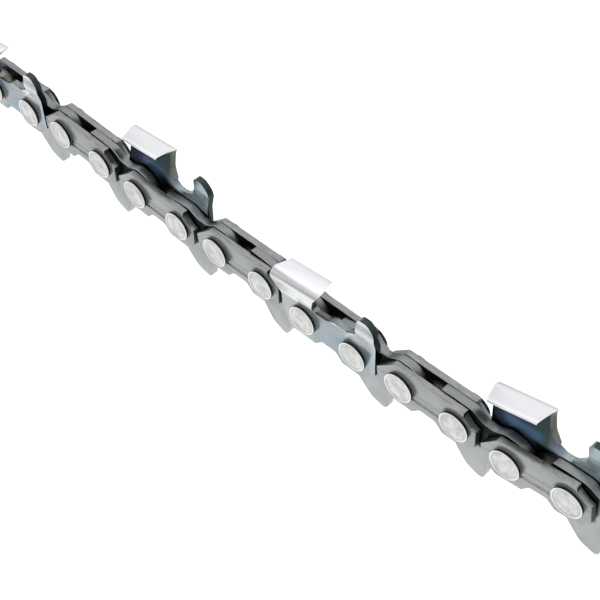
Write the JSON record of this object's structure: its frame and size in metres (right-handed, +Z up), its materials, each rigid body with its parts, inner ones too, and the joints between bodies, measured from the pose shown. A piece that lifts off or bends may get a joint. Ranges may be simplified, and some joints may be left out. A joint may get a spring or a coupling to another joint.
{
  "type": "ripping saw chain",
  "caption": "Open run of ripping saw chain: chrome cutters on alternate sides, tie straps, hooked drive links and rivets that every link turns on.",
  "frame": {"origin": "centre of the base of the bounding box, under the tip of the lowest tang", "axes": "+X along the run, the way the chain travels; +Y to the left of the run, along the rivets; +Z up, from the tangs to the cutters"},
  "size_m": [0.1386, 0.0072, 0.0206],
  "materials": {
    "cutter": "satin chrome plate on a stamped steel cutter",
    "tie_strap": "satin stamped steel",
    "drive_link": "smooth stamped steel",
    "rivet": "bright spun heads"
  },
  "bodies": {
    "pair_1": {"front_rivet_1": "rivet", "left_tie_strap_1": "tie_strap", "rear_rivet_1": "rivet", "right_cutter_1": "cutter"},
    "drive_1": {"drive_link_1": "drive_link"},
    "pair_2": {"front_rivet_2": "rivet", "left_tie_strap_2": "tie_strap", "rear_rivet_2": "rivet", "right_tie_strap_2": "tie_strap"},
    "drive_2": {"drive_link_2": "drive_link"},
    "pair_3": {"front_rivet_3": "rivet", "left_cutter_3": "cutter", "rear_rivet_3": "rivet", "right_tie_strap_3": "tie_strap"},
    "drive_3": {"drive_link_3": "drive_link"},
    "pair_4": {"front_rivet_4": "rivet", "left_tie_strap_4": "tie_strap", "rear_rivet_4": "rivet", "right_tie_strap_4": "tie_strap"},
    "drive_4": {"drive_link_4": "drive_link"},
    "pair_5": {"front_rivet_5": "rivet", "left_tie_strap_5": "tie_strap", "rear_rivet_5": "rivet", "right_cutter_5": "cutter"},
    "drive_5": {"drive_link_5": "drive_link"},
    "pair_6": {"front_rivet_6": "rivet", "left_tie_strap_6": "tie_strap", "rear_rivet_6": "rivet", "right_tie_strap_6": "tie_strap"},
    "drive_6": {"drive_link_6": "drive_link"},
    "pair_7": {"front_rivet_7": "rivet", "left_cutter_7": "cutter", "rear_rivet_7": "rivet", "right_tie_strap_7": "tie_strap"},
    "drive_7": {"drive_link_7": "drive_link"}
  },
  "joints": [
    {"name": "hinge_1", "type": "hinge", "parent": "pair_1", "child": "drive_1", "pos_m": [-0.0544, 0, 0.01114], "axis": [0, 1, 0], "range_deg": [-9.7, 28.01]},
    {"name": "hinge_2", "type": "hinge", "parent": "drive_1", "child": "pair_2", "pos_m": [-0.04568, 0, 0.01149], "axis": [0, 1, 0], "range_deg": [-16.8, 20.91]},
    {"name": "hinge_3", "type": "hinge", "parent": "pair_2", "child": "drive_2", "pos_m": [-0.03578, 0, 0.01106], "axis": [0, 1, 0], "range_deg": [-16.6, 21.11]},
    {"name": "hinge_4", "type": "hinge", "parent": "drive_2", "child": "pair_3", "pos_m": [-0.02712, 0, 0.00998], "axis": [0, 1, 0], "range_deg": [-6.8, 30.91]},
    {"name": "hinge_5", "type": "hinge", "parent": "pair_3", "child": "drive_3", "pos_m": [-0.01721, 0, 0.00965], "axis": [0, 1, 0], "range_deg": [-7.8, 29.91]},
    {"name": "hinge_6", "type": "hinge", "parent": "drive_3", "child": "pair_4", "pos_m": [-0.00849, 0, 0.01], "axis": [0, 1, 0], "range_deg": [-13.5, 24.21]},
    {"name": "hinge_7", "type": "hinge", "parent": "pair_4", "child": "drive_4", "pos_m": [0.00142, 0, 0.01014], "axis": [0, 1, 0], "range_deg": [-20.1, 17.61]},
    {"name": "hinge_8", "type": "hinge", "parent": "drive_4", "child": "pair_5", "pos_m": [0.01008, 0, 0.00903], "axis": [0, 1, 0], "range_deg": [-4.3, 33.41]},
    {"name": "hinge_9", "type": "hinge", "parent": "pair_5", "child": "drive_5", "pos_m": [0.01999, 0, 0.0091], "axis": [0, 1, 0], "range_deg": [-8.8, 28.91]},
    {"name": "hinge_10", "type": "hinge", "parent": "drive_5", "child": "pair_6", "pos_m": [0.0287, 0, 0.00965], "axis": [0, 1, 0], "range_deg": [-13.9, 23.81]},
    {"name": "hinge_11", "type": "hinge", "parent": "pair_6", "child": "drive_6", "pos_m": [0.03861, 0, 0.00994], "axis": [0, 1, 0], "range_deg": [-14.8, 22.91]},
    {"name": "hinge_12", "type": "hinge", "parent": "drive_6", "child": "pair_7", "pos_m": [0.04734, 0, 0.00977], "axis": [0, 1, 0], "range_deg": [-1.9, 35.81]},
    {"name": "hinge_13", "type": "hinge", "parent": "pair_7", "child": "drive_7", "pos_m": [0.05712, 0, 0.01132], "axis": [0, 1, 0], "range_deg": [-19, 18.71]}
  ]
}
